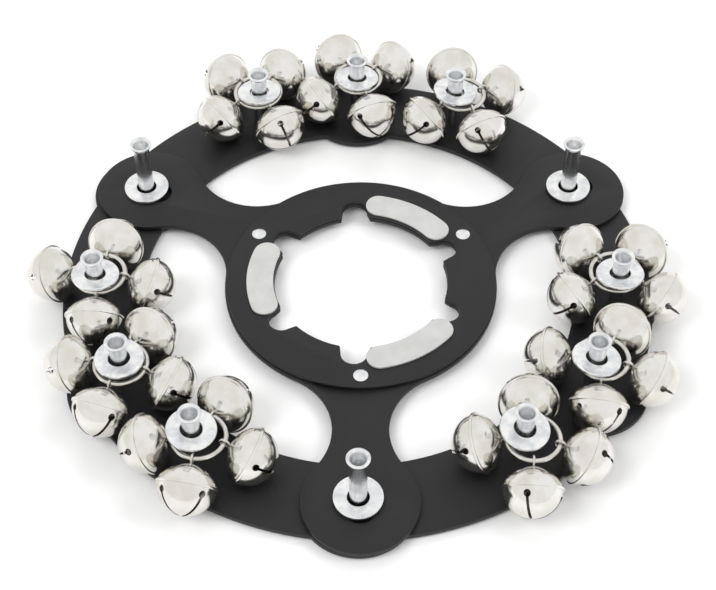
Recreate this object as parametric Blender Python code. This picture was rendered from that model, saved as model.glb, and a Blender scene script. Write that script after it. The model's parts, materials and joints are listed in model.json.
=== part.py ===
"""Ring sleigh bells: 36 slit bells in nine clusters on a ring plate, with a sliding spider plate.

The frame's origin is the ring plate's centre, level with the undersides of the post heads.
Run with: blender --background --python part.py
"""
import math
from dataclasses import dataclass

import bmesh
import bpy
from mathutils import Matrix, Vector

MM = 0.001
GAP = 0.3 * MM

# Ring plate
POST_CIRCLE = 102.1 * MM
RING_OUTER = 117.2 * MM
RING_INNER = 86.2 * MM
LOBE_RADIUS = 21.8 * MM
LOBE_ANGLES = (30, 90, 150, 210, 270, 330)
HEAD_THICKNESS = 1.0 * MM
PLATE_THICKNESS = 2.0 * MM
RING_BOTTOM = HEAD_THICKNESS
RING_TOP = RING_BOTTOM + PLATE_THICKNESS

# Tubular posts
POST_RADIUS = 3.25 * MM
POST_BORE = 2.35 * MM
POST_FLARE = 4.45 * MM
POST_HEAD = 5.6 * MM
POST_TOP = 31.8 * MM
POST_BORE_FLOOR = 12.0 * MM
POST_SIDES = 8
SLIDE_POSTS = (30, 150, 270)
CLUSTER_STEP = 24.3

# Spider plate and hub ring
SPIDER_BOTTOM = RING_TOP + GAP
SPIDER_TOP = SPIDER_BOTTOM + PLATE_THICKNESS
SPIDER_SHIFT = Vector((1.3, -0.5, 0.0)) * MM
SPIDER_TURN = math.radians(-0.3)
SPIDER_HUB = 54.2 * MM
ARM_FILLET = 26.0 * MM
SLOT_WIDTH = 10.5 * MM
SLOT_LENGTH = 19.0 * MM
HUB_BOTTOM = SPIDER_TOP + GAP
HUB_THICKNESS = 1.5 * MM
HUB_TOP = HUB_BOTTOM + HUB_THICKNESS
HUB_RADIUS = 53.6 * MM
HUB_SIDES = 40
TOOTH_RADIUS = 34.5 * MM
NOTCH_CENTRE = 37.2 * MM
NOTCH_RADIUS = 5.2 * MM
NOTCH_HALF_TURN = 8
NOTCHES = (26, 94, 146, 214, 266, 334)
RIVET_CIRCLE = 48.0 * MM
RIVET_HEAD = 2.9 * MM
RIVET_SHANK = 1.5 * MM
RIVET_HOLE = 1.9 * MM
RIVET_TOP = HUB_TOP + 0.8 * MM
PAD_ANGLES = (60, 180, 300)
PAD_OUTER = 45.5 * MM
PAD_INNER = 34.9 * MM
PAD_HALF_SPAN = 27
PAD_THICKNESS = 0.9 * MM

# Washers
WASHER_RADIUS = 9.3 * MM
WASHER_HOLE = 3.95 * MM
WASHER_THICKNESS = 1.4 * MM
WASHER_SIDES = 12

# Wire rings
WIRE_RING = 9.7 * MM
WIRE_RADIUS = 0.95 * MM
WIRE_Z = 17.9 * MM

# Bells: the loop is at the bell's origin and its axis runs out along +X
LOOP_RADIUS = 1.8 * MM
LOOP_WIRE = 0.45 * MM
BELL_TILT = math.radians(24)
SHEET = 0.5 * MM
CAP_TOP = (1.7 * MM, 1.9 * MM)
CAP_MIDDLE = (4.6 * MM, 7.6 * MM)
EQUATOR = (9.8 * MM, 11.5 * MM)
SLIT_END = (13.2 * MM, 10.3 * MM)
CUP_MIDDLE = (17.8 * MM, 7.3 * MM)
CUP_POLE = 20.8 * MM
SLIT_HALF = 0.5 * MM
BELL_SIDES = 8

BLACK = (0.030, 0.030, 0.031, 1.0)
ZINC = (0.62, 0.64, 0.67, 1.0)
NICKEL = (0.72, 0.70, 0.66, 1.0)


@dataclass(frozen=True)
class Cluster:
    """Four bells on a loose wire ring, as they lie round their post."""

    name: str
    angle: float
    offset: tuple
    bearings: tuple
    spins: tuple
    washer_tilt: float
    washer_rise: float


CLUSTERS = (
    Cluster("top_left", 90 + CLUSTER_STEP, (-0.8, 3.6), (138, 59, 217, 300), (45, 45, 45, 15), 9, 1.0),
    Cluster("top_middle", 90, (0.5, 3.6), (118, 38, 209, 288), (45, 45, 45, 45), 9, 0.6),
    Cluster("top_right", 90 - CLUSTER_STEP, (3.1, 2.0), (100, 21, 215, 294), (45, 45, 45, 30), 9, 1.0),
    Cluster("left_upper", 210 - CLUSTER_STEP, (1.1, 3.5), (78, 170, 352, 268), (45, 45, 45, 45), 9, 1.0),
    Cluster("left_middle", 210, (0.2, 0.5), (173, 61, 252, 341), (45, 45, 45, 45), 0, 0.9),
    Cluster("left_lower", 210 + CLUSTER_STEP, (2.5, -0.6), (64, 342, 260, 181), (45, 45, 45, 45), 6, 0.9),
    Cluster("right_upper", 330 + CLUSTER_STEP, (-0.8, 3.6), (129, 50, 208, 331), (45, 45, 45, 45), 9, 1.0),
    Cluster("right_middle", 330, (2.8, 2.4), (59, 168, 340, 261), (45, 45, 45, 45), 9, 0.6),
    Cluster("right_lower", 330 - CLUSTER_STEP, (3.2, -1.8), (90, 178, 345, 266), (45, 45, 15, 15), 9, 1.0),
)
LOBE_WASHERS = (("lobe_washer_right", 30), ("lobe_washer_left", 150), ("lobe_washer_bottom", 270))


def polar(radius, degrees, z=0.0):
    """Return the point at a radius and a bearing round the z axis."""
    angle = math.radians(degrees)
    return Vector((radius * math.cos(angle), radius * math.sin(angle), z))


def clear_scene():
    """Remove whatever objects the file opened with."""
    for item in list(bpy.data.objects):
        bpy.data.objects.remove(item)


def material(name, colour, roughness, metallic):
    """Make one Principled material."""
    made = bpy.data.materials.new(name)
    made.use_nodes = True
    shader = made.node_tree.nodes["Principled BSDF"]
    shader.inputs["Base Color"].default_value = colour
    shader.inputs["Roughness"].default_value = roughness
    shader.inputs["Metallic"].default_value = metallic
    return made


def add_object(name, mesh, finish, place=Matrix(), parent=None):
    """Put a mesh in the scene as a named object with its own material."""
    made = bpy.data.objects.new(name, mesh)
    bpy.context.collection.objects.link(made)
    made.data.materials.clear()
    made.data.materials.append(finish)
    made.parent = parent
    made.matrix_local = place
    return made


def finish_mesh(bm, name):
    """Close a bmesh into a smooth-shaded mesh with outward faces."""
    bmesh.ops.recalc_face_normals(bm, faces=bm.faces)
    mesh = bpy.data.meshes.new(name)
    bm.to_mesh(mesh)
    bm.free()
    mesh.shade_smooth()
    mesh.set_sharp_from_angle(angle=math.radians(35))
    return mesh


def prism(name, outline, bottom, top):
    """Extrude a closed outline of x, y points between two heights."""
    bm = bmesh.new()
    low = [bm.verts.new((point[0], point[1], bottom)) for point in outline]
    face = bm.faces.new(low)
    grown = bmesh.ops.extrude_face_region(bm, geom=[face])
    lifted = [item for item in grown["geom"] if isinstance(item, bmesh.types.BMVert)]
    bmesh.ops.translate(bm, verts=lifted, vec=(0, 0, top - bottom))
    return finish_mesh(bm, name)


def turned(name, profile, sides):
    """Turn a profile of radius, z points round the z axis; zero radii make poles."""
    bm = bmesh.new()
    rings = []
    for radius, z in profile:
        count = sides if radius > 0 else 1
        rings.append([bm.verts.new(polar(radius, 360 * i / sides, z)) for i in range(count)])
    if profile[0][0] > 0:
        rings.append(rings[0])
    for lower, upper in zip(rings, rings[1:]):
        for i in range(sides):
            j = (i + 1) % sides
            corners = [lower[i % len(lower)], lower[j % len(lower)], upper[j % len(upper)], upper[i % len(upper)]]
            bm.faces.new(list(dict.fromkeys(corners)))
    return finish_mesh(bm, name)


def torus(name, radius, wire, sides, wire_sides):
    """Make a closed ring of round wire about the z axis."""
    profile = []
    for i in range(wire_sides):
        angle = 2 * math.pi * i / wire_sides
        profile.append((radius + wire * math.cos(angle), wire * math.sin(angle)))
    return turned(name, profile, sides)


def combined(base, others, operation):
    """Return the mesh of a base object after exact Booleans with helper meshes."""
    body = bpy.data.objects.new("work", base)
    bpy.context.collection.objects.link(body)
    helpers = []
    for mesh, place in others:
        helper = bpy.data.objects.new("helper", mesh)
        bpy.context.collection.objects.link(helper)
        helper.matrix_world = place
        helpers.append(helper)
        step = body.modifiers.new("step", "BOOLEAN")
        step.operation = operation
        step.object = helper
    bpy.context.view_layer.update()
    graph = bpy.context.evaluated_depsgraph_get()
    result = bpy.data.meshes.new_from_object(body.evaluated_get(graph))
    for item in [body] + helpers:
        bpy.data.objects.remove(item)
    return result


def circle_reach(centre, radius, degrees, side):
    """Return how far a ray reaches into a circle centred on the ray's zero bearing."""
    angle = math.radians(degrees)
    inside = radius ** 2 - (centre * math.sin(angle)) ** 2
    if inside < 0:
        return None
    return centre * math.cos(angle) + side * math.sqrt(inside)


def ring_plate_mesh():
    """Make the flat ring with six lobes that bulge past both of its edges."""
    steps = (-30, -21, -11.8, -9, -6, -2.5, 2.5, 6, 9, 11.8, 21)
    bm = bmesh.new()
    rows = []
    for lobe in LOBE_ANGLES:
        for step in steps:
            far = circle_reach(POST_CIRCLE, LOBE_RADIUS, step, 1) or 0
            near = circle_reach(POST_CIRCLE, LOBE_RADIUS, step, -1) or RING_INNER
            outer = max(RING_OUTER, far)
            inner = min(RING_INNER, near)
            corners = [(outer, RING_BOTTOM), (outer, RING_TOP), (inner, RING_TOP), (inner, RING_BOTTOM)]
            rows.append([bm.verts.new(polar(radius, lobe + step, z)) for radius, z in corners])
    for row, following in zip(rows, rows[1:] + rows[:1]):
        for i in range(4):
            j = (i + 1) % 4
            bm.faces.new((row[i], following[i], following[j], row[j]))
    return finish_mesh(bm, "ring_plate_sheet")


def post_mesh():
    """Make a flared tubular post with its head under the plate."""
    bite = 0.2 * MM
    profile = [
        (0, 0),
        (POST_HEAD, 0),
        (POST_HEAD, RING_BOTTOM + bite),
        (POST_RADIUS, RING_BOTTOM + bite),
        (POST_RADIUS, POST_TOP - 2.0 * MM),
        (POST_FLARE, POST_TOP - 0.5 * MM),
        (POST_FLARE - 0.7 * MM, POST_TOP),
        (POST_BORE, POST_TOP - 0.9 * MM),
        (POST_BORE, POST_BORE_FLOOR),
        (0, POST_BORE_FLOOR),
    ]
    return turned("post", profile, POST_SIDES)


def cluster_post(cluster):
    """Return the foot of a cluster's post."""
    return polar(POST_CIRCLE, cluster.angle)


def make_ring_plate(finish):
    """Make the ring plate with its twelve posts riveted on."""
    feet = [polar(POST_CIRCLE, angle) for angle in SLIDE_POSTS]
    feet += [cluster_post(cluster) for cluster in CLUSTERS]
    post = post_mesh()
    helpers = [(post, Matrix.Translation(foot)) for foot in feet]
    mesh = combined(ring_plate_mesh(), helpers, "UNION")
    return add_object("ring_plate", mesh, finish)


def arc(centre, radius, start, end, count):
    """List points along an arc, ends included, in degrees."""
    points = []
    for i in range(count):
        points.append(centre + polar(radius, start + (end - start) * i / (count - 1)))
    return points


def spider_outline():
    """Trace the hub, the three waisted arms and the round lobes."""
    reach_hub = SPIDER_HUB + ARM_FILLET
    reach_lobe = LOBE_RADIUS + ARM_FILLET
    along = (reach_hub ** 2 - reach_lobe ** 2 + POST_CIRCLE ** 2) / (2 * POST_CIRCLE)
    across = math.sqrt(reach_hub ** 2 - along ** 2)
    hub_turn = math.degrees(math.atan2(across, along))
    lobe_turn = math.degrees(math.atan2(across, along - POST_CIRCLE))
    lobe = Vector((POST_CIRCLE, 0, 0))
    arm = arc(Vector((along, -across, 0)), ARM_FILLET, 180 - hub_turn, 180 - lobe_turn, 5)
    arm += arc(lobe, LOBE_RADIUS, -lobe_turn, lobe_turn, 12)[1:-1]
    arm += arc(Vector((along, across, 0)), ARM_FILLET, lobe_turn + 180, hub_turn + 180, 5)
    arm += arc(Vector(), SPIDER_HUB, hub_turn, 120 - hub_turn, 6)[1:-1]
    outline = []
    for angle in SLIDE_POSTS:
        turn = Matrix.Rotation(math.radians(angle), 4, "Z")
        outline += [turn @ point for point in arm]
    return outline


def opening_outline():
    """Trace the hub opening: six teeth between six round notches."""
    steps = (-NOTCH_HALF_TURN, -6.5, -3.5, 0, 3.5, 6.5, NOTCH_HALF_TURN)
    outline = []
    for bearing, following in zip(NOTCHES, NOTCHES[1:] + (NOTCHES[0] + 360,)):
        for step in steps:
            reach = circle_reach(NOTCH_CENTRE, NOTCH_RADIUS, step, 1) or 0
            outline.append(polar(max(TOOTH_RADIUS, reach), bearing + step))
        outline += arc(Vector(), TOOTH_RADIUS, bearing + NOTCH_HALF_TURN, following - NOTCH_HALF_TURN, 5)[1:-1]
    return outline


def slot_outline():
    """Trace the round-ended slot of one lobe, lying along x."""
    half = (SLOT_LENGTH - SLOT_WIDTH) / 2
    outline = arc(Vector((half, 0, 0)), SLOT_WIDTH / 2, -90, 90, 6)
    outline += arc(Vector((-half, 0, 0)), SLOT_WIDTH / 2, 90, 270, 6)
    return outline


def pad_outline():
    """Trace one pad, a curved band with round ends, centred on zero bearing."""
    middle = (PAD_OUTER + PAD_INNER) / 2
    half = (PAD_OUTER - PAD_INNER) / 2
    span = PAD_HALF_SPAN - math.degrees(half / middle)
    outline = arc(Vector(), PAD_OUTER, -span, span, 5)
    outline += arc(polar(middle, span), half, span, span + 180, 5)[1:-1]
    outline += arc(Vector(), PAD_INNER, span, -span, 5)
    outline += arc(polar(middle, -span), half, -span + 180, -span + 360, 5)[1:-1]
    return outline


def make_spider_plate(finish, carrier):
    """Make the sliding spider plate."""
    low = SPIDER_BOTTOM - PLATE_THICKNESS
    high = SPIDER_TOP + PLATE_THICKNESS
    cutters = [(prism("opening", opening_outline(), low, high), Matrix())]
    slot = prism("slot", slot_outline(), low, high)
    hole = turned("rivet_hole", [(0, low), (RIVET_HOLE, low), (RIVET_HOLE, high), (0, high)], 8)
    for angle in SLIDE_POSTS:
        turn = Matrix.Rotation(math.radians(angle), 4, "Z")
        cutters.append((slot, turn @ Matrix.Translation((POST_CIRCLE, 0, 0))))
        cutters.append((hole, turn @ Matrix.Translation((RIVET_CIRCLE, 0, 0))))
    sheet = prism("spider_sheet", spider_outline(), SPIDER_BOTTOM, SPIDER_TOP)
    return add_object("spider_plate", combined(sheet, cutters, "DIFFERENCE"), finish, parent=carrier)


def make_hub_ring(finish, carrier):
    """Make the hub ring with its three rivets and three pads."""
    bite = 0.1 * MM
    disc = prism("disc", arc(Vector(), HUB_RADIUS, 0, 360 - 360 / HUB_SIDES, HUB_SIDES), HUB_BOTTOM, HUB_TOP)
    low = HUB_BOTTOM - HUB_THICKNESS
    opening = prism("hub_opening", opening_outline(), low, HUB_TOP + HUB_THICKNESS)
    ring = combined(disc, [(opening, Matrix())], "DIFFERENCE")
    profile = [
        (0, SPIDER_BOTTOM - 0.9 * MM),
        (RIVET_HEAD - 0.5 * MM, SPIDER_BOTTOM - 0.9 * MM),
        (RIVET_HEAD - 0.5 * MM, SPIDER_BOTTOM - GAP),
        (RIVET_SHANK, SPIDER_BOTTOM - GAP),
        (RIVET_SHANK, HUB_BOTTOM + bite),
        (RIVET_HEAD, HUB_TOP - bite),
        (RIVET_HEAD, HUB_TOP + 0.3 * MM),
        (RIVET_HEAD * 0.6, RIVET_TOP),
        (0, RIVET_TOP),
    ]
    rivet = turned("rivet", profile, 8)
    pad = prism("pad", pad_outline(), HUB_TOP - bite, HUB_TOP + PAD_THICKNESS)
    added = []
    for angle in SLIDE_POSTS:
        turn = Matrix.Rotation(math.radians(angle), 4, "Z")
        added.append((rivet, turn @ Matrix.Translation((RIVET_CIRCLE, 0, 0))))
    for angle in PAD_ANGLES:
        added.append((pad, Matrix.Rotation(math.radians(angle), 4, "Z")))
    return add_object("hub_ring", combined(ring, added, "UNION"), finish, parent=carrier)


def washer_mesh():
    """Make a flat washer centred on its own middle."""
    half = WASHER_THICKNESS / 2
    profile = [(WASHER_HOLE, -half), (WASHER_RADIUS, -half), (WASHER_RADIUS, half), (WASHER_HOLE, half)]
    return turned("washer", profile, WASHER_SIDES)


def slit_row(bm, x, radius, spin):
    """Add the four petals' vertices of one row, edges set back from the slits."""
    edge = math.degrees(math.asin(SLIT_HALF / radius))
    row = []
    for quarter in range(4):
        for step in (edge, 45, 90 - edge):
            row.append(around_axis(bm, x, radius, 90 * quarter + step + spin))
    return row


def around_axis(bm, x, radius, degrees):
    """Add a vertex at a bearing round the bell's own axis."""
    angle = math.radians(degrees)
    return bm.verts.new((x, radius * math.cos(angle), radius * math.sin(angle)))


def join_full(bm, ring, row):
    """Join a full ring to the first row of petals."""
    for quarter in range(4):
        upper = [ring[(2 * quarter + i) % BELL_SIDES] for i in range(3)]
        lower = row[3 * quarter:3 * quarter + 3]
        for i in range(2):
            bm.faces.new((upper[i], upper[i + 1], lower[i + 1], lower[i]))
        bm.faces.new((upper[0], lower[0], row[3 * quarter - 1]))


def bell_sheet(bm, spin, rings, rows, pole):
    """Add one side of the bell's sheet; return its petal rows and tips."""
    circles = []
    for x, radius in rings:
        circles.append([around_axis(bm, x, radius, 360 * i / BELL_SIDES + spin) for i in range(BELL_SIDES)])
    for upper, lower in zip(circles, circles[1:]):
        for i in range(BELL_SIDES):
            j = (i + 1) % BELL_SIDES
            bm.faces.new((upper[i], upper[j], lower[j], lower[i]))
    bm.faces.new(circles[0])
    first = slit_row(bm, *rows[0], spin)
    second = slit_row(bm, *rows[1], spin)
    join_full(bm, circles[-1], first)
    tips = []
    for quarter in range(4):
        start = 3 * quarter
        tip = around_axis(bm, pole, SLIT_HALF * math.sqrt(2), 90 * quarter + 45 + spin)
        tips.append(tip)
        for i in range(start, start + 2):
            bm.faces.new((first[i], first[i + 1], second[i + 1], second[i]))
            bm.faces.new((second[i], second[i + 1], tip))
    return first, second, tips


def bell_mesh(spin):
    """Make a hollow bell: cap, flange and slit cup in thin sheet, with its wire loop."""
    bm = bmesh.new()
    outer = bell_sheet(bm, spin, (CAP_TOP, CAP_MIDDLE, EQUATOR), (SLIT_END, CUP_MIDDLE), CUP_POLE)
    inner_cap = (CAP_TOP[0] + SHEET, CAP_TOP[1] - SHEET)
    inner_middle = (CAP_MIDDLE[0] + SHEET, CAP_MIDDLE[1] - SHEET)
    inner_end = (SLIT_END[0] - SHEET / 3, SLIT_END[1] - SHEET)
    inner_cup = (CUP_MIDDLE[0] - SHEET, CUP_MIDDLE[1] - SHEET / 2)
    inner = bell_sheet(bm, spin, (inner_cap, inner_middle), (inner_end, inner_cup), CUP_POLE - SHEET)
    for quarter in range(4):
        start = 3 * quarter
        end = start + 2
        rims = []
        for first, second, tips in (outer, inner):
            rims.append([first[start - 1], first[start], second[start], tips[quarter], second[end], first[end]])
        for i in range(5):
            bm.faces.new((rims[0][i], rims[0][i + 1], rims[1][i + 1], rims[1][i]))
    shell = finish_mesh(bm, "bell_shell")
    loop = torus("bell_loop", LOOP_RADIUS, LOOP_WIRE, 8, 3)
    upright = Matrix.Rotation(math.radians(90), 4, "X")
    return combined(shell, [(loop, upright)], "UNION")


def washer_place(cluster):
    """Tilt a bell washer so that its crowded side is lifted; relative to the wire ring."""
    offset = Vector((*cluster.offset, 0)) * MM
    lean = Matrix.Rotation(math.radians(cluster.washer_tilt), 4, Vector((0, 0, 1)).cross(offset).normalized())
    height = LOOP_RADIUS + LOOP_WIRE + WASHER_THICKNESS / 2 + cluster.washer_rise * MM - 0.5 * MM
    return Matrix.Translation(Vector((0, 0, height)) - offset) @ lean


def make_cluster(cluster, wire_mesh, bells, washer, finishes):
    """Make one wire ring with its washer and four bells."""
    centre = cluster_post(cluster) + Vector((*cluster.offset, 0)) * MM + Vector((0, 0, WIRE_Z))
    place = Matrix.Translation(centre)
    wire = add_object("wire_ring_" + cluster.name, wire_mesh.copy(), finishes["wire"], place)
    add_object("washer_" + cluster.name, washer.copy(), finishes["washer"], washer_place(cluster), wire)
    for number, (bearing, spin) in enumerate(zip(cluster.bearings, cluster.spins), start=1):
        turn = Matrix.Rotation(math.radians(bearing), 4, "Z")
        droop = Matrix.Rotation(BELL_TILT, 4, "Y")
        loop = Matrix.Translation(polar(WIRE_RING, bearing))
        name = f"bell_{cluster.name}_{number}"
        add_object(name, bells[spin], finishes["bell"], loop @ turn @ droop, wire)


def make_lobe_washers(mesh, finish):
    """Lay a flat washer on each slotted lobe, round its post."""
    height = SPIDER_TOP + GAP + WASHER_THICKNESS / 2
    for name, angle in LOBE_WASHERS:
        add_object(name, mesh.copy(), finish, Matrix.Translation(polar(POST_CIRCLE, angle, height)))


def main():
    """Build every sub-part of the sleigh bells."""
    clear_scene()
    black = material("black_coated_sheet", BLACK, 0.55, 0.0)
    spider_black = material("black_coated_spider", BLACK, 0.5, 0.0)
    finishes = {
        "wire": material("nickel_wire", ZINC, 0.25, 1.0),
        "washer": material("zinc_washer", ZINC, 0.3, 1.0),
        "bell": material("nickel_bell", NICKEL, 0.18, 1.0),
    }
    make_ring_plate(black)
    carrier = bpy.data.objects.new("spider_carrier", None)
    bpy.context.collection.objects.link(carrier)
    carrier.location = SPIDER_SHIFT
    carrier.rotation_euler.z = SPIDER_TURN
    make_spider_plate(spider_black, carrier)
    make_hub_ring(spider_black, carrier)
    washer = washer_mesh()
    make_lobe_washers(washer, finishes["washer"])
    wire_mesh = torus("wire_ring", WIRE_RING, WIRE_RADIUS, 16, 4)
    spins = {spin for cluster in CLUSTERS for spin in cluster.spins}
    bells = {spin: bell_mesh(spin) for spin in sorted(spins)}
    for cluster in CLUSTERS:
        make_cluster(cluster, wire_mesh, bells, washer, finishes)


main()
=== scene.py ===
"""Looks of the ring sleigh bells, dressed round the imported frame."""
import json
import logging
import math
from dataclasses import dataclass
from enum import Enum

import bpy
from mathutils import Matrix, Vector


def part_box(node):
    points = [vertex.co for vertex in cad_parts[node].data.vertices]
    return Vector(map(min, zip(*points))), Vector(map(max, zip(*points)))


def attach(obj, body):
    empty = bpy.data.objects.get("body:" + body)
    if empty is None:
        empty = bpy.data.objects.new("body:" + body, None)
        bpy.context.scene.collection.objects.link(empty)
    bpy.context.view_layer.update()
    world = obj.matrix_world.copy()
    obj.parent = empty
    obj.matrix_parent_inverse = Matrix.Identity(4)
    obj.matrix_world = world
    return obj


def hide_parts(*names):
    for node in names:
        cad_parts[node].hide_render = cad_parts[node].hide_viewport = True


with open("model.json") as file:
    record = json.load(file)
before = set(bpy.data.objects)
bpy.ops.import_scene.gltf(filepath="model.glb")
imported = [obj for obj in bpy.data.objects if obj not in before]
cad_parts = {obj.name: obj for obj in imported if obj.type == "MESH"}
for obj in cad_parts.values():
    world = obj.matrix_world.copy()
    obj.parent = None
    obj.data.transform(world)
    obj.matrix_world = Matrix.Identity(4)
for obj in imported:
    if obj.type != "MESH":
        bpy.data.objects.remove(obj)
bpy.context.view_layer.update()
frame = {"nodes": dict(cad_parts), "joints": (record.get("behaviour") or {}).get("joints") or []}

MM = 0.001
# Bearings of the posts and of the ring plate's lobes, in degrees
SLIDE_POSTS = (30, 150, 270)
CLUSTER_POSTS = (65.7, 90, 114.3, 185.7, 210, 234.3, 305.7, 330, 354.3)
RING_LOBES = (30, 90, 150, 210, 270, 330)
POST_CIRCLE = 102.1 * MM
LOBE_RADIUS = 21.8 * MM
SHEET_EDGE = 0.3 * MM
EDGE_FACETS = 2
MERGE_DISTANCE = 0.001 * MM
# Angles from which an edge stays sharp
FINE_CREASE = math.radians(35)
CREASE = math.radians(40)
# Where the noise passes from a finish's first colour to its second
TINT_STOPS = (0.35, 0.65)
BUMP_DEPTH = 0.1 * MM
log = logging.getLogger("sleigh_bells")


class Slot(Enum):
    """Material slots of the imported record."""

    RING = "ring_black"
    SPIDER = "spider_black"
    HUB = "hub_black"
    WASHER = "washer_zinc"
    WIRE = "wire_nickel"
    BELL = "bell_nickel"


def linear(hex_colour: str) -> tuple[float, float, float, float]:
    """Turn an sRGB hex colour into linear values.

    Args:
        hex_colour: Six hex digits.
    Returns:
        Linear red, green, blue and an alpha of one.
    """
    values = []
    for start in (0, 2, 4):
        value = int(hex_colour[start:start + 2], 16) / 255
        values.append(value / 12.92 if value <= 0.04045 else ((value + 0.055) / 1.055) ** 2.4)
    return (*values, 1.0)


def add_node(tree: bpy.types.NodeTree, kind: str, settings: dict, links: dict) -> bpy.types.Node:
    """Add a shader node with its settings and incoming links.

    Args:
        tree: The node tree that it goes in.
        kind: The node's type name.
        settings: Attribute names, or input names with a leading colon, to values.
        links: Input names to the output sockets that feed them.
    Returns:
        The new node.
    """
    node = tree.nodes.new(kind)
    for name, value in settings.items():
        if name.startswith(":"):
            node.inputs[name[1:]].default_value = value
        else:
            setattr(node, name, value)
    for name, source in links.items():
        tree.links.new(source, node.inputs[name])
    return node


@dataclass(frozen=True)
class Finish:
    """A surface: its two colours, how rough it is, and the size of its grain."""

    name: str
    colour: str
    second: str
    roughness: float
    roughness_swing: float
    metallic: float
    grain_mm: float
    bump: float
    patch_mm: float

    def make(self) -> bpy.types.Material:
        """Build the node material.

        Returns:
            The material, patterned in object coordinates.
        """
        made = bpy.data.materials.new(self.name)
        made.use_nodes = True
        tree = made.node_tree
        shader = tree.nodes["Principled BSDF"]
        shader.inputs["Metallic"].default_value = self.metallic
        place = add_node(tree, "ShaderNodeTexCoord", {}, {}).outputs["Object"]
        coarse = {":Scale": 1 / (self.patch_mm * MM), ":Detail": 3.0}
        patches = add_node(tree, "ShaderNodeTexNoise", coarse, {"Vector": place})
        tint = add_node(tree, "ShaderNodeValToRGB", {}, {"Fac": patches.outputs["Fac"]})
        for number, shade in enumerate((self.colour, self.second)):
            tint.color_ramp.elements[number].position = TINT_STOPS[number]
            tint.color_ramp.elements[number].color = linear(shade)
        tree.links.new(tint.outputs["Color"], shader.inputs["Base Color"])
        limits = {
            ":To Min": self.roughness - self.roughness_swing,
            ":To Max": self.roughness + self.roughness_swing,
        }
        rough = add_node(tree, "ShaderNodeMapRange", limits, {"Value": patches.outputs["Fac"]})
        tree.links.new(rough.outputs["Result"], shader.inputs["Roughness"])
        fine = {":Scale": 1 / (self.grain_mm * MM), ":Detail": 2.0}
        grain = add_node(tree, "ShaderNodeTexNoise", fine, {"Vector": place})
        depth = {":Strength": self.bump, ":Distance": BUMP_DEPTH}
        bump = add_node(tree, "ShaderNodeBump", depth, {"Height": grain.outputs["Fac"]})
        tree.links.new(bump.outputs["Normal"], shader.inputs["Normal"])
        return made


# Powder coat on pressed steel: a dull, even black, its orange-peel grain drawn at 0.9 mm so that it shows
POWDER_COAT = Finish(
    name="powder_coated_steel", colour="101011", second="171718", roughness=0.56, roughness_swing=0.07,
    metallic=0.0, grain_mm=0.9, bump=0.5, patch_mm=30,
)
# Bright nickel plate over pressed steel: near-mirror, slightly warm, faintly dented
NICKEL_PLATE = Finish(
    name="nickel_plated_steel", colour="e9e7e3", second="dcd8d0", roughness=0.16, roughness_swing=0.05,
    metallic=1.0, grain_mm=3.0, bump=0.3, patch_mm=7,
)
# Bright zinc plate: whiter than the nickel, with a mottled, uneven shine
ZINC_PLATE = Finish(
    name="zinc_plated_steel", colour="f4f4f3", second="d9dbde", roughness=0.22, roughness_swing=0.08,
    metallic=1.0, grain_mm=0.8, bump=0.2, patch_mm=4,
)
# Drawn wire under nickel plate: bright, with a faint, fine unevenness
WIRE_PLATE = Finish(
    name="nickel_plated_wire", colour="dedcd7", second="cfccc5", roughness=0.2, roughness_swing=0.04,
    metallic=1.0, grain_mm=0.8, bump=0.1, patch_mm=3,
)
# Pale grey pads: painted shade, grey sheets laid on the hub ring where the floor seen through its pockets
# lies in shadow; matt, with a fine bump grain
PAD_PAINTED_SHADE = Finish(
    name="pad_painted_shade_grey", colour="bdbdbb", second="c6c6c4", roughness=0.85, roughness_swing=0.05,
    metallic=0.0, grain_mm=0.5, bump=0.5, patch_mm=6,
)
# Hardened steel ball, only glimpsed through the slits
STEEL_BALL = Finish(
    name="hardened_steel_ball", colour="8f8d89", second="7d7b77", roughness=0.3, roughness_swing=0.05,
    metallic=1.0, grain_mm=1.0, bump=0.05, patch_mm=2,
)


def polar(radius: float, degrees: float, z: float = 0.0) -> Vector:
    """Return the point at a radius and a bearing round z."""
    angle = math.radians(degrees)
    return Vector((radius * math.cos(angle), radius * math.sin(angle), z))


def arc(centre: Vector, radius: float, start: float, end: float, count: int) -> list[Vector]:
    """List points along an arc, ends included.

    Args:
        centre: The arc's centre.
        radius: Its radius in metres.
        start: The first bearing in degrees.
        end: The last bearing in degrees.
        count: How many points.
    Returns:
        The points in order.
    """
    return [centre + polar(radius, start + (end - start) * i / (count - 1)) for i in range(count)]


def circle(centre: Vector, radius: float, count: int) -> list[Vector]:
    """List evenly spaced points all the way round a circle."""
    return arc(centre, radius, 0, 360 - 360 / count, count)


def select_only(piece: bpy.types.Object) -> None:
    """Make one object the only selected and active one.

    Args:
        piece: The object.
    """
    bpy.ops.object.select_all(action="DESELECT")
    piece.select_set(True)
    bpy.context.view_layer.objects.active = piece


def smooth(piece: bpy.types.Object, crease: float) -> None:
    """Shade a piece smooth but for its creases.

    Args:
        piece: The piece.
        crease: The angle in radians from which an edge stays sharp.
    """
    select_only(piece)
    bpy.ops.object.shade_smooth_by_angle(angle=crease)


def chain(name: str, points: list[Vector], filled: bool) -> bpy.types.Object:
    """Start a piece from a circle whose points are moved to a closed outline.

    Args:
        name: The piece's name.
        points: The outline's corners in order.
        filled: Whether the outline is one face.
    Returns:
        The new object.
    """
    bpy.ops.object.select_all(action="DESELECT")
    fill = "NGON" if filled else "NOTHING"
    bpy.ops.mesh.primitive_circle_add(vertices=len(points), radius=1, fill_type=fill)
    piece = bpy.context.active_object
    piece.name = name
    for vertex, point in zip(piece.data.vertices, points):
        vertex.co = point
    return piece


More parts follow.
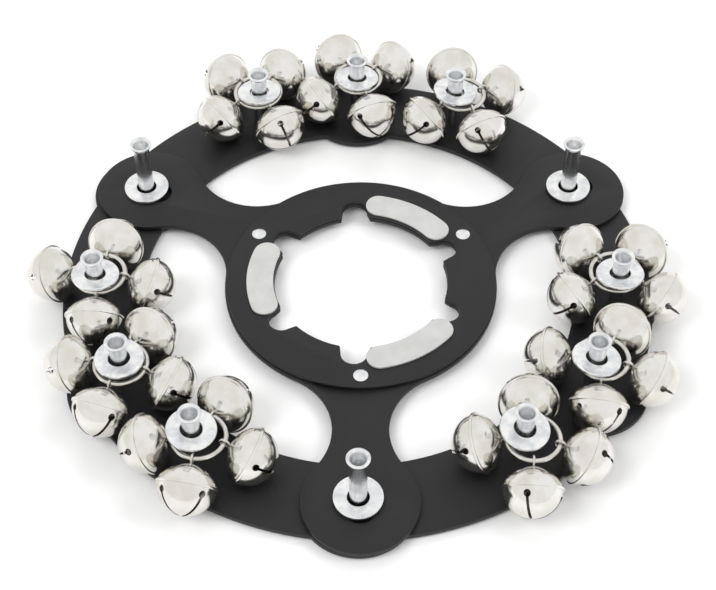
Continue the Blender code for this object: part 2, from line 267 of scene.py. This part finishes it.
def tidy_shell(piece: bpy.types.Object) -> None:
    """Merge doubled points and turn every face outwards.

    Args:
        piece: The piece.
    """
    select_only(piece)
    bpy.ops.object.mode_set(mode="EDIT")
    bpy.ops.mesh.select_all(action="SELECT")
    bpy.ops.mesh.remove_doubles(threshold=MERGE_DISTANCE)
    bpy.ops.mesh.normals_make_consistent(inside=False)
    bpy.ops.object.mode_set(mode="OBJECT")


def sheet(name: str, outline: list[Vector], bottom: float, top: float) -> bpy.types.Object:
    """Cut a flat sheet to an outline and give it its thickness.

    Args:
        name: The piece's name.
        outline: The cut edge.
        bottom: Height of the underside.
        top: Height of the upper side.
    Returns:
        The sheet.
    """
    piece = chain(name, [Vector((point.x, point.y, bottom)) for point in outline], True)
    bpy.ops.object.mode_set(mode="EDIT")
    bpy.ops.mesh.select_all(action="SELECT")
    bpy.ops.mesh.extrude_region_move(TRANSFORM_OT_translate={"value": (0, 0, top - bottom)})
    bpy.ops.object.mode_set(mode="OBJECT")
    tidy_shell(piece)
    return piece


def spun(name: str, profile: list[tuple[float, float]], steps: int) -> bpy.types.Object:
    """Spin a closed profile of radius and z in millimetres round z.

    Args:
        name: The piece's name.
        profile: Corners of the cross-section.
        steps: How many steps make the full turn.
    Returns:
        The turned piece.
    """
    points = [Vector((radius * MM, 0, z * MM)) for radius, z in profile]
    piece = chain(name, points, False)
    bpy.ops.object.mode_set(mode="EDIT")
    bpy.ops.mesh.select_all(action="SELECT")
    bpy.ops.mesh.spin(steps=steps, angle=2 * math.pi, center=(0, 0, 0), axis=(0, 0, 1))
    bpy.ops.object.mode_set(mode="OBJECT")
    tidy_shell(piece)
    return piece


def carve(piece: bpy.types.Object, cutter: bpy.types.Object, operation: str = "DIFFERENCE") -> None:
    """Apply an exact Boolean to a piece and delete the helper.

    Args:
        piece: What is cut or added to.
        cutter: The helper.
        operation: DIFFERENCE or UNION.
    """
    select_only(piece)
    step = piece.modifiers.new("cut", "BOOLEAN")
    step.operation = operation
    step.object = cutter
    bpy.ops.object.modifier_apply(modifier=step.name)
    bpy.data.objects.remove(cutter)


def ease_edges(piece: bpy.types.Object, width: float) -> None:
    """Round a piece's sharp edges and shade it smooth.

    Args:
        piece: The piece.
        width: The bevel's width in metres.
    """
    select_only(piece)
    step = piece.modifiers.new("edges", "BEVEL")
    step.width = width
    step.segments = EDGE_FACETS
    step.limit_method = "ANGLE"
    step.angle_limit = CREASE
    bpy.ops.object.modifier_apply(modifier=step.name)
    smooth(piece, FINE_CREASE)


def placed_copy(source: bpy.types.Object, name: str, place: Matrix) -> bpy.types.Object:
    """Copy a piece with its own mesh and put its place in the mesh.

    Args:
        source: The piece to copy.
        name: The copy's name.
        place: Where it goes.
    Returns:
        The copy.
    """
    mesh = source.data.copy()
    mesh.transform(place)
    piece = bpy.data.objects.new(name, mesh)
    bpy.context.scene.collection.objects.link(piece)
    return piece


def dress(piece: bpy.types.Object, finish: bpy.types.Material, body: str) -> None:
    """Give a piece its material, let it ride on its body and report it.

    Args:
        piece: The finished piece.
        finish: Its material.
        body: The body that it moves with.
    """
    piece.data.materials.clear()
    piece.data.materials.append(finish)
    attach(piece, body)
    log.info("%s rides on %s", piece.name, body)


@dataclass
class RingPlate:
    """The ring plate with its six lobes and twelve tubular posts."""

    finish: bpy.types.Material
    post_finish: bpy.types.Material
    outer: float = 117.2 * MM
    inner: float = 86.2 * MM
    bottom: float = 1.0 * MM
    top: float = 3.0 * MM
    rim_points: int = 240
    hole_points: int = 180
    lobe_points: int = 72
    post_steps: int = 40
    # Radius and height in millimetres: head, shank, flared rim, bore and its floor
    post_profile: tuple[tuple[float, float], ...] = (
        (0.05, 0.0), (5.2, 0.0), (5.55, 0.3), (5.55, 0.98), (3.25, 0.98), (3.25, 29.3), (3.4, 29.9),
        (3.9, 30.4), (4.35, 30.9), (4.42, 31.25), (4.2, 31.6), (3.8, 31.75), (3.4, 31.55), (2.95, 31.0),
        (2.65, 30.2), (2.62, 28.6), (2.3, 28.2), (2.3, 12.0), (0.05, 12.0),
    )

    def build_sheet(self) -> None:
        """Cut the ring plate and join its lobes on."""
        rim = circle(Vector(), self.outer, self.rim_points)
        piece = sheet("ring_plate_sheet", rim, self.bottom, self.top)
        hole = circle(Vector(), self.inner, self.hole_points)
        carve(piece, sheet("hole", hole, self.bottom - self.top, 2 * self.top))
        for bearing in RING_LOBES:
            disc = circle(polar(POST_CIRCLE, bearing), LOBE_RADIUS, self.lobe_points)
            carve(piece, sheet("lobe", disc, self.bottom, self.top), "UNION")
        ease_edges(piece, SHEET_EDGE)
        dress(piece, self.finish, "ring_frame")
        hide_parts("ring_plate")

    def build_posts(self) -> None:
        """Turn one tubular post and rivet a copy in each place."""
        source = spun("post_source", self.post_profile, self.post_steps)
        smooth(source, CREASE)
        for number, bearing in enumerate(SLIDE_POSTS + CLUSTER_POSTS, start=1):
            place = Matrix.Translation(polar(POST_CIRCLE, bearing))
            post = placed_copy(source, f"post_{number}", place)
            dress(post, self.post_finish, "ring_frame")
        bpy.data.objects.remove(source)


@dataclass
class Spider:
    """The sliding spider plate, its hub ring, rivets and pads."""

    finish: bpy.types.Material
    rivet_finish: bpy.types.Material
    pad_shade_finish: bpy.types.Material
    # How far the spider lies off centre and turned in the play of its slots
    shift: Vector = Vector((1.3 * MM, -0.5 * MM, 0))
    turn: float = math.radians(-0.3)
    hub: float = 54.2 * MM
    fillet: float = 26.0 * MM
    bottom: float = 3.3 * MM
    top: float = 5.3 * MM
    slot_reach: float = 4.25 * MM
    slot_half_width: float = 5.25 * MM
    hub_ring: float = 53.6 * MM
    ring_bottom: float = 5.6 * MM
    ring_top: float = 7.1 * MM
    cut_height: float = 12 * MM
    # The hub opening: radius to its teeth, and its round notches, with angles in degrees
    tooth: float = 34.5 * MM
    notch: float = 5.2 * MM
    notch_centre: float = 37.2 * MM
    notch_half_turn: float = 8
    notch_steps: int = 16
    notch_bearings: tuple[float, ...] = (26, 94, 146, 214, 266, 334)
    rivet_circle: float = 48 * MM
    # Radius and height in millimetres: tail, shank and domed head
    rivet_profile: tuple[tuple[float, float], ...] = (
        (0.03, 2.4), (2.4, 2.4), (2.4, 3.0), (1.5, 3.0), (1.5, 7.1), (2.9, 7.1), (2.85, 7.35),
        (2.4, 7.62), (1.6, 7.82), (0.8, 7.88), (0.03, 7.9),
    )
    # The pads, with angles in degrees
    pad_bearings: tuple[float, ...] = (60, 180, 300)
    pad_outer: float = 45.5 * MM
    pad_inner: float = 34.9 * MM
    pad_half_span: float = 27
    pad_thickness: float = 0.9 * MM
    pad_edge: float = 0.15 * MM
    glue: float = 0.02 * MM
    # How finely each round stretch is drawn
    hub_points: int = 40
    fillet_points: int = 20
    lobe_points: int = 60
    opening_points: int = 24
    slot_points: int = 24
    ring_points: int = 144
    pad_side_points: int = 24
    pad_end_points: int = 16
    rivet_steps: int = 32

    def place(self, bearing: float = 0.0) -> Matrix:
        """Return the spider's lie, turned to a bearing of its own."""
        lie = Matrix.Translation(self.shift) @ Matrix.Rotation(self.turn, 4, "Z")
        return lie @ Matrix.Rotation(math.radians(bearing), 4, "Z")

    def outline(self) -> list[Vector]:
        """Trace the hub, waisted arms and lobes.

        Returns:
            The outline about the hub's own centre.
        """
        near = self.hub + self.fillet
        far = LOBE_RADIUS + self.fillet
        along = (near ** 2 - far ** 2 + POST_CIRCLE ** 2) / (2 * POST_CIRCLE)
        across = math.sqrt(near ** 2 - along ** 2)
        hub_turn = math.degrees(math.atan2(across, along))
        lobe_turn = math.degrees(math.atan2(across, along - POST_CIRCLE))
        lobe = Vector((POST_CIRCLE, 0, 0))
        left, right = Vector((along, across, 0)), Vector((along, -across, 0))
        arm = arc(right, self.fillet, 180 - hub_turn, 180 - lobe_turn, self.fillet_points)
        arm += arc(lobe, LOBE_RADIUS, -lobe_turn, lobe_turn, self.lobe_points)[1:-1]
        arm += arc(left, self.fillet, lobe_turn + 180, hub_turn + 180, self.fillet_points)
        arm += arc(Vector(), self.hub, hub_turn, 120 - hub_turn, self.hub_points)[1:-1]
        points = []
        for bearing in SLIDE_POSTS:
            turn = Matrix.Rotation(math.radians(bearing), 4, "Z")
            points += [turn @ point for point in arm]
        return points

    def opening(self) -> list[Vector]:
        """Trace the hub opening with its six round notches.

        Returns:
            The outline about the hub's own centre.
        """
        points = []
        following_bearings = self.notch_bearings[1:] + (self.notch_bearings[0] + 360,)
        for bearing, following in zip(self.notch_bearings, following_bearings):
            for i in range(-self.notch_steps, self.notch_steps + 1):
                step = self.notch_half_turn * i / self.notch_steps
                inside = self.notch ** 2 - (self.notch_centre * math.sin(math.radians(step))) ** 2
                reach = self.notch_centre * math.cos(math.radians(step)) + math.sqrt(max(inside, 0))
                points.append(polar(max(self.tooth, reach), bearing + step))
            start = bearing + self.notch_half_turn
            end = following - self.notch_half_turn
            points += arc(Vector(), self.tooth, start, end, self.opening_points)[1:-1]
        return points

    def slot(self) -> list[Vector]:
        """Trace the round-ended slot of one lobe.

        Returns:
            The outline about the slot's middle, lying along x.
        """
        outer = Vector((self.slot_reach, 0, 0))
        points = arc(outer, self.slot_half_width, -90, 90, self.slot_points)
        return points + arc(-outer, self.slot_half_width, 90, 270, self.slot_points)

    def pad_outline(self) -> list[Vector]:
        """Trace one pad, a curved band with round ends.

        Returns:
            The outline about the hub's own centre, with the pad's middle on x.
        """
        middle = (self.pad_outer + self.pad_inner) / 2
        half = (self.pad_outer - self.pad_inner) / 2
        span = self.pad_half_span - math.degrees(half / middle)
        sides, ends = self.pad_side_points, self.pad_end_points
        points = arc(Vector(), self.pad_outer, -span, span, sides)
        points += arc(polar(middle, span), half, span, span + 180, ends)[1:-1]
        points += arc(Vector(), self.pad_inner, span, -span, sides)
        return points + arc(polar(middle, -span), half, 180 - span, 360 - span, ends)[1:-1]

    def build_plates(self) -> None:
        """Cut the spider plate and the hub ring."""
        plate = sheet("spider_plate_sheet", self.outline(), self.bottom, self.top)
        carve(plate, sheet("opening", self.opening(), 0, self.cut_height))
        slot = self.slot()
        out = Matrix.Translation((POST_CIRCLE, 0, 0))
        for bearing in SLIDE_POSTS:
            lobe = Matrix.Rotation(math.radians(bearing), 4, "Z") @ out
            carve(plate, sheet("slot", [lobe @ point for point in slot], 0, self.cut_height))
        disc = circle(Vector(), self.hub_ring, self.ring_points)
        ring = sheet("hub_ring_sheet", disc, self.ring_bottom, self.ring_top)
        carve(ring, sheet("opening", self.opening(), 0, self.cut_height))
        for piece, slot_name, node in ((plate, Slot.SPIDER, "spider_plate"), (ring, Slot.HUB, "hub_ring")):
            ease_edges(piece, SHEET_EDGE)
            piece.data.transform(self.place())
            dress(piece, self.finish, "spider")
            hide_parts(node)

    def build_rivets(self) -> None:
        """Turn the domed hub rivets."""
        source = spun("rivet_source", self.rivet_profile, self.rivet_steps)
        smooth(source, FINE_CREASE)
        for number, bearing in enumerate(SLIDE_POSTS, start=1):
            place = self.place(bearing) @ Matrix.Translation((self.rivet_circle, 0, 0))
            rivet = placed_copy(source, f"hub_rivet_{number}", place)
            dress(rivet, self.rivet_finish, "spider")
        bpy.data.objects.remove(source)

    def build_pads(self) -> None:
        """Cut the three round-ended pads."""
        outline = self.pad_outline()
        low = self.ring_top + self.glue
        high = self.ring_top + self.pad_thickness
        for number, bearing in enumerate(self.pad_bearings, start=1):
            # The pad's pale grey is painted shade laid on the hub ring
            pad = sheet(f"hub_pad_{number}", outline, low, high)
            ease_edges(pad, self.pad_edge)
            pad.data.transform(self.place(bearing))
            dress(pad, self.pad_shade_finish, "spider")


@dataclass
class Washers:
    """Flat washers, each laid where its solid lies."""

    finish: bpy.types.Material
    # Radius and height in millimetres: a punched edge below, a rolled one above
    profile: tuple[tuple[float, float], ...] = (
        (4.05, -0.7), (9.0, -0.7), (9.2, -0.6), (9.28, -0.4), (9.28, 0.3), (9.1, 0.58), (8.8, 0.68),
        (4.25, 0.68), (4.05, 0.5),
    )
    steps: int = 64

    def lie(self, node: str) -> Matrix:
        """Read a washer's centre and tilt from its solid.

        Args:
            node: The washer's node.
        Returns:
            The matrix that lays a level washer there.
        """
        low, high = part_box(node)
        flat = max(frame["nodes"][node].data.polygons, key=lambda face: face.area).normal
        up = flat if flat.z > 0 else -flat
        return Matrix.Translation((low + high) / 2) @ up.to_track_quat("Z", "Y").to_matrix().to_4x4()

    def build(self) -> None:
        """Turn one washer with eased edges and lay a copy on each place."""
        source = spun("washer_source", self.profile, self.steps)
        smooth(source, FINE_CREASE)
        for node in sorted(frame["nodes"]):
            if "washer" not in node:
                continue
            washer = placed_copy(source, node + "_plated", self.lie(node))
            body = "spider" if node.startswith("lobe") else node.replace("washer", "ring", 1)
            dress(washer, self.finish, body)
            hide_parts(node)
        bpy.data.objects.remove(source)


@dataclass
class Bells:
    """The slit bells with their wire loops, pellets and the rings that carry them.

    The sizes are in millimetres, and a bell's axis runs from its loop out through its slit.
    """

    shell_finish: bpy.types.Material
    wire_finish: bpy.types.Material
    ball_finish: bpy.types.Material
    tilt: float = math.radians(24)
    equator: float = 9.8
    radius: float = 10.87
    cup_depth: float = 10.86
    cap_depth: float = 8.1
    # Above one, the cap is slightly conical
    cap_power: float = 1.4
    rows: int = 12
    # A hair's width stays open on the axis, so the spun sheet closes on itself
    pin: float = 0.06
    flange: float = 11.5
    flange_roll: float = 0.12
    # Distances of the crimp's corners from its middle, along the axis
    crimp: tuple[float, float, float] = (0.62, 0.5, 0.3)
    # The inside is the outside scaled down by a 0.45 mm sheet over a nominal radius of 11 mm
    inner_share: float = 1 - 0.45 / 11
    slit_start: float = 13.0
    slit_end: float = 22.0
    slit_width: float = 1.0
    slit_reach: float = 24.0
    keyhole: float = 1.3
    keyhole_reach: float = 10.0
    keyhole_depth: float = 6.0
    loop_radius: float = 1.75
    loop_wire: float = 0.5
    ring_radius: float = 9.7
    ring_wire: float = 0.93
    ball: float = 2.5
    # Where the ball rests, from the middle of the loop along the bell's axis
    ball_place: tuple[float, float, float] = (12.5, 0, -0.6)
    # How finely each round stretch is drawn
    shell_steps: int = 48
    keyhole_sides: int = 16
    wire_sides: int = 12
    loop_steps: int = 28
    ring_steps: int = 72
    ball_divisions: int = 3
    # How far a bell is turned about its own axis, in degrees, where it isn't the usual turn
    usual_turn: float = 45
    odd_turns: tuple[tuple[str, float], ...] = (
        ("bell_top_left_4", 15), ("bell_top_right_4", 30), ("bell_right_lower_3", 15),
        ("bell_right_lower_4", 15),
    )

    def profile(self) -> list[tuple[float, float]]:
        """Trace the bell's pressed sheet: cap, crimped flange and cup, then back inside.

        Returns:
            Radius and distance along the axis for each corner.
        """
        points = []
        for i in range(self.rows):
            angle = math.radians(90 * i / self.rows)
            reach = self.radius * math.sin(angle) ** self.cap_power
            points.append((max(self.pin, reach), self.equator - self.cap_depth * math.cos(angle)))
        reaches = (self.radius, self.flange - self.flange_roll, self.flange)
        crimp = list(zip(reaches, self.crimp))
        points += [(reach, self.equator - step) for reach, step in crimp]
        points += [(reach, self.equator + step) for reach, step in reversed(crimp)]
        for i in range(1, self.rows + 1):
            angle = math.radians(90 * i / self.rows)
            reach = self.radius * math.cos(angle)
            points.append((max(self.pin, reach), self.equator + self.cup_depth * math.sin(angle)))
        for i in range(self.rows, -self.rows - 1, -1):
            angle = math.radians(90 * abs(i) / self.rows)
            depth, power = (self.cup_depth, 1.0) if i > 0 else (-self.cap_depth, self.cap_power)
            reach = self.radius * self.inner_share * math.cos(angle) ** power
            height = depth * math.sin(angle) * self.inner_share
            points.append((max(self.pin, reach), self.equator + height))
        return points

    def cut_slit(self, piece: bpy.types.Object, turn: float) -> None:
        """Saw one slit across the cup.

        Args:
            piece: The bell's shell, its axis on z.
            turn: The slit's bearing in degrees.
        """
        far = self.slit_end * MM
        start = self.slit_start * MM
        bpy.ops.object.select_all(action="DESELECT")
        bpy.ops.mesh.primitive_cube_add(size=1, location=(0, 0, (far + start) / 2))
        blade = bpy.context.active_object
        blade.scale = (self.slit_reach * MM, self.slit_width * MM, far - start)
        blade.rotation_euler.z = math.radians(turn)
        bpy.ops.object.transform_apply(location=True, rotation=True, scale=True)
        carve(piece, blade)

    def drill_keyhole(self, piece: bpy.types.Object, turn: float) -> None:
        """Drill the round end of a slit.

        Args:
            piece: The bell's shell, its axis on z.
            turn: The hole's bearing in degrees.
        """
        place = polar(self.keyhole_reach * MM, turn, self.slit_start * MM)
        bpy.ops.object.select_all(action="DESELECT")
        bpy.ops.mesh.primitive_cylinder_add(
            vertices=self.keyhole_sides, radius=self.keyhole * MM, depth=self.keyhole_depth * MM,
            location=place,
        )
        drill = bpy.context.active_object
        drill.rotation_euler = (0, math.radians(90), math.radians(turn))
        bpy.ops.object.transform_apply(location=True, rotation=True, scale=True)
        carve(piece, drill)

    def shell(self) -> bpy.types.Object:
        """Spin the shell and cut its cross slit with keyhole ends.

        Returns:
            The shell, its axis on z.
        """
        piece = spun("bell_source", self.profile(), self.shell_steps)
        for turn in (0, 90):
            self.cut_slit(piece, turn)
        for turn in (0, 90, 180, 270):
            self.drill_keyhole(piece, turn)
        tidy_shell(piece)
        smooth(piece, CREASE)
        return piece

    def wire_circle(self, name: str, radius: float, wire: float, steps: int) -> bpy.types.Object:
        """Turn a closed ring of round wire.

        Args:
            name: The piece's name.
            radius: The ring's radius to the wire's middle.
            wire: The wire's radius.
            steps: How many steps make the full turn.
        Returns:
            The ring about z.
        """
        section = []
        for i in range(self.wire_sides):
            angle = 2 * math.pi * i / self.wire_sides
            section.append((radius + wire * math.cos(angle), wire * math.sin(angle)))
        piece = spun(name, section, steps)
        select_only(piece)
        bpy.ops.object.shade_smooth()
        return piece

    def pellet(self) -> bpy.types.Object:
        """Make the steel ball that rolls in a bell.

        Returns:
            The ball at the origin.
        """
        bpy.ops.object.select_all(action="DESELECT")
        bpy.ops.mesh.primitive_ico_sphere_add(subdivisions=self.ball_divisions, radius=self.ball * MM)
        bpy.ops.object.shade_smooth()
        return bpy.context.active_object

    def hang_bells(self) -> None:
        """Hang a shell, its loop and its pellet at every bell's joint."""
        shell = self.shell()
        loop = self.wire_circle("loop_source", self.loop_radius, self.loop_wire, self.loop_steps)
        ball = self.pellet()
        to_x = Matrix.Rotation(math.radians(90), 4, "Y")
        upright = Matrix.Rotation(math.radians(90), 4, "X")
        rest = Matrix.Translation(Vector(self.ball_place) * MM)
        turns = dict(self.odd_turns)
        for joint in frame["joints"]:
            node = joint["child"]
            if not node.startswith("bell_"):
                continue
            bearing = math.atan2(joint["axis"][0], -joint["axis"][1])
            lie = Matrix.Translation(joint["pos_m"]) @ Matrix.Rotation(bearing, 4, "Z")
            lie = lie @ Matrix.Rotation(self.tilt, 4, "Y")
            spin = Matrix.Rotation(math.radians(turns.get(node, self.usual_turn)), 4, "X")
            plated = placed_copy(shell, node + "_shell", lie @ spin @ to_x)
            dress(plated, self.shell_finish, node)
            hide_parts(node)
            hanger = placed_copy(loop, node + "_loop", lie @ upright)
            dress(hanger, self.wire_finish, node)
            pellet = placed_copy(ball, node + "_pellet", lie @ rest)
            dress(pellet, self.ball_finish, node)
        for source in (shell, loop, ball):
            bpy.data.objects.remove(source)

    def lay_rings(self) -> None:
        """Lay a wire ring round each cluster's post."""
        ring = self.wire_circle("ring_source", self.ring_radius, self.ring_wire, self.ring_steps)
        for node in sorted(frame["nodes"]):
            if node.startswith("wire_ring_"):
                low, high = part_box(node)
                wire = placed_copy(ring, node + "_plated", Matrix.Translation((low + high) / 2))
                dress(wire, self.wire_finish, node.replace("wire_", "", 1))
                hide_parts(node)
        bpy.data.objects.remove(ring)


@dataclass
class Studio:
    """The pale floor, the white surroundings, the soft lamps and the camera."""

    lens: float = 77.7
    sensor: float = 36
    eye: Vector = Vector((-0.0008, -0.3995, 0.4755))
    target: Vector = Vector((0.00013, -0.00703, 0.005))
    sky_level: float = 0.72
    floor_size: float = 6
    floor_drop: float = 0.2 * MM
    floor_colour: str = "f8f8f8"
    floor_roughness: float = 0.9
    # Name, place, width in metres and power in watts
    lamps: tuple[tuple[str, tuple[float, float, float], float, float], ...] = (
        ("key_lamp", (-0.7, -0.5, 1.1), 0.6, 7.0),
        ("fill_lamp", (0.9, -0.2, 0.9), 0.5, 3.5),
        ("back_lamp", (0.1, 1.0, 0.9), 0.8, 4.5),
    )

    def lay_floor(self) -> None:
        """Lay the pale, matt floor."""
        bpy.ops.object.select_all(action="DESELECT")
        bpy.ops.mesh.primitive_plane_add(size=self.floor_size, location=(0, 0, -self.floor_drop))
        floor = bpy.context.active_object
        floor.name = "floor"
        paint = bpy.data.materials.new("pale_floor")
        paint.use_nodes = True
        shader = paint.node_tree.nodes["Principled BSDF"]
        shader.inputs["Base Color"].default_value = linear(self.floor_colour)
        shader.inputs["Roughness"].default_value = self.floor_roughness
        floor.data.materials.append(paint)

    def light_world(self) -> None:
        """Make the sky white where it is seen and softer where it lights."""
        world = bpy.context.scene.world or bpy.data.worlds.new("world")
        bpy.context.scene.world = world
        world.use_nodes = True
        tree = world.node_tree
        background = tree.nodes["Background"]
        background.inputs["Color"].default_value = (1, 1, 1, 1)
        path = add_node(tree, "ShaderNodeLightPath", {}, {})
        seen = add_node(tree, "ShaderNodeMath", {"operation": "MAXIMUM"}, {})
        tree.links.new(path.outputs["Is Camera Ray"], seen.inputs[0])
        tree.links.new(path.outputs["Is Glossy Ray"], seen.inputs[1])
        clear = add_node(tree, "ShaderNodeMath", {"operation": "MAXIMUM"}, {})
        tree.links.new(seen.outputs[0], clear.inputs[0])
        tree.links.new(path.outputs["Is Transmission Ray"], clear.inputs[1])
        levels = {":To Min": self.sky_level, ":To Max": 1.0}
        strength = add_node(tree, "ShaderNodeMapRange", levels, {"Value": clear.outputs[0]})
        tree.links.new(strength.outputs["Result"], background.inputs["Strength"])

    def hang_lamps(self) -> None:
        """Hang the soft lamps, each turned towards the object."""
        for name, place, size, power in self.lamps:
            lamp = bpy.data.lights.new(name, "AREA")
            lamp.energy = power
            lamp.size = size
            holder = bpy.data.objects.new(name, lamp)
            bpy.context.scene.collection.objects.link(holder)
            holder.location = place
            holder.rotation_euler = (-Vector(place)).to_track_quat("-Z", "Y").to_euler()
            holder.visible_glossy = False

    def set_camera(self) -> None:
        """Set the camera at the photograph's viewing angle."""
        camera = bpy.data.cameras.new("camera")
        camera.lens = self.lens
        camera.sensor_width = self.sensor
        holder = bpy.data.objects.new("camera", camera)
        bpy.context.scene.collection.objects.link(holder)
        holder.location = self.eye
        holder.rotation_euler = (self.target - self.eye).to_track_quat("-Z", "Y").to_euler()
        bpy.context.scene.camera = holder
        bpy.context.scene.view_settings.view_transform = "Standard"


def main() -> None:
    """Build every sub-assembly in order, then the studio round it."""
    logging.basicConfig(level=logging.INFO)
    black = POWDER_COAT.make()
    nickel = NICKEL_PLATE.make()
    zinc = ZINC_PLATE.make()
    wire = WIRE_PLATE.make()
    plate = RingPlate(black, zinc)
    plate.build_sheet()
    plate.build_posts()
    spider = Spider(black, zinc, PAD_PAINTED_SHADE.make())
    spider.build_plates()
    spider.build_rivets()
    spider.build_pads()
    Washers(zinc).build()
    bells = Bells(nickel, wire, STEEL_BALL.make())
    bells.hang_bells()
    bells.lay_rings()
    studio = Studio()
    studio.lay_floor()
    studio.light_world()
    studio.hang_lamps()
    studio.set_camera()


if __name__ == "__main__":
    main()
